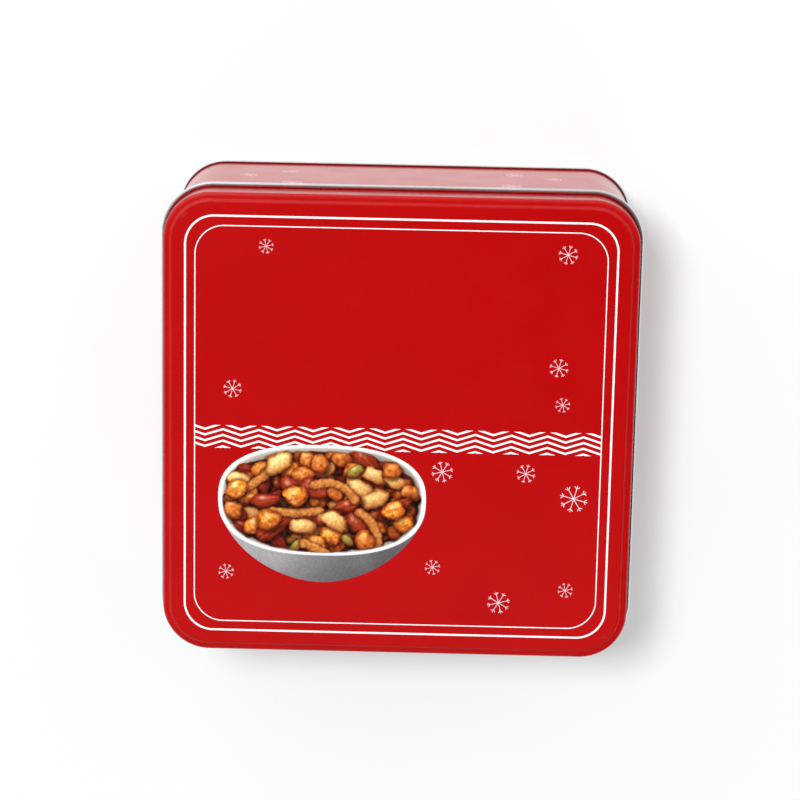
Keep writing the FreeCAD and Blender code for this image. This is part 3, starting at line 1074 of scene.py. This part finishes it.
# square softboxes that look at the origin: name, place, side in metres, watts
SOFTBOXES = (
    ("key", (-0.43, 0.7, 2.2), 0.45, 44.0),
    ("fill_right", (1.0, 0.6, 0.9), 1.0, 2.2),
    ("fill_front", (0.2, -1.2, 0.9), 1.0, 5.0))


def softbox(name, place, side, power):
    light = bpy.data.lights.new(name, "AREA")
    light.shape = "SQUARE"
    light.size = side
    light.energy = power
    lamp = bpy.data.objects.new(name, light)
    lamp.location = place
    lamp.rotation_euler = (-Vector(place)).to_track_quat("-Z", "Y").to_euler()
    lamp.visible_camera = False
    lamp.visible_glossy = False
    bpy.context.scene.collection.objects.link(lamp)


def studio_world():
    """Pale room with a dark ceiling patch, so that the lid's gloss stays deep.
    along and aside are how far a direction leans to +Y and +X for its height."""
    world = bpy.data.worlds.new("studio")
    bpy.context.scene.world = world
    nodes = Nodes(world)
    where = nodes.add("ShaderNodeTexCoord").outputs["Generated"]
    parts = nodes.add("ShaderNodeSeparateXYZ", {"Vector": where}).outputs
    height = nodes.math("MAXIMUM", parts["Z"], 0.02)
    along = nodes.math("DIVIDE", parts["Y"], height)
    aside = nodes.math("DIVIDE", parts["X"], height)
    # bright to the left of straight behind, grey behind, fairly bright behind on the right
    behind_left = nodes.span(parts["X"], -0.03, -0.08, 0.45, 1.5)
    behind_right = nodes.times(
        nodes.span(parts["X"], 0.03, 0.08, 0.45, 0.85), nodes.span(parts["X"], 0.6, 0.85, 1.0, 0.1))
    rises_back = nodes.math(
        "MAXIMUM", nodes.span(along, -0.13, -0.04, 0.0, 0.3), nodes.span(along, 0.4, 1.2, 0.0, 1.0))
    behind = nodes.times(nodes.math("MAXIMUM", behind_left, behind_right), rises_back)
    # a faint glow in front, which the lower half of the lid reflects, and little to the right
    rises_front = nodes.times(
        nodes.span(along, -0.265, -0.295, 0.015, 0.21), nodes.span(along, -0.4, -0.9, 1.0, 0.35))
    glow = nodes.times(nodes.span(aside, 0.09, 0.3, 1.0, 0.1), rises_front)
    # low on the right a glow that only the rolled edges and the walls reflect
    low_right = nodes.times(
        nodes.span(parts["X"], 0.5, 0.8, 0.0, 1.1), nodes.span(parts["Z"], 0.24, 0.14, 0.0, 1.0))
    # on the left a glow that grows in three stages towards the horizon
    left = [nodes.span(aside, *stage) for stage in (
        (0.02, -0.11, 0.0, 0.12), (-0.7, -2.2, 0.0, 0.45), (-2.2, -5.0, 0.0, 0.95))]
    for part in (behind, low_right, *left):
        glow = nodes.math("MAXIMUM", glow, part)
    # dim below the horizon
    glow = nodes.math("MINIMUM", glow, nodes.span(parts["Z"], -0.05, 0.0, 0.4, 2.0))
    background = nodes.add("ShaderNodeBackground", {"Color": (1, 1, 1, 1), "Strength": glow})
    nodes.add("ShaderNodeOutputWorld", {"Surface": background.outputs["Background"]})


# the photograph's viewing angle: lens and sensor in millimetres, place in metres,
# turn about X, Y and Z in degrees
LENS, SENSOR = 123.6, 36.0
EYE_PLACE = (0.0137, 0.2793, 1.1942)
EYE_TURN = (-13.522, 0.945, 1.104)


def camera():
    data = bpy.data.cameras.new("camera")
    data.lens = LENS
    data.sensor_width = SENSOR
    data.dof.use_dof = False
    data.clip_start = 0.05
    eye = bpy.data.objects.new("camera", data)
    eye.location = EYE_PLACE
    eye.rotation_euler = [math.radians(angle) for angle in EYE_TURN]
    bpy.context.scene.collection.objects.link(eye)
    bpy.context.scene.camera = eye


studio_floor()
for box in SOFTBOXES:
    softbox(*box)
studio_world()
camera()
bpy.context.scene.view_settings.view_transform = "Standard"
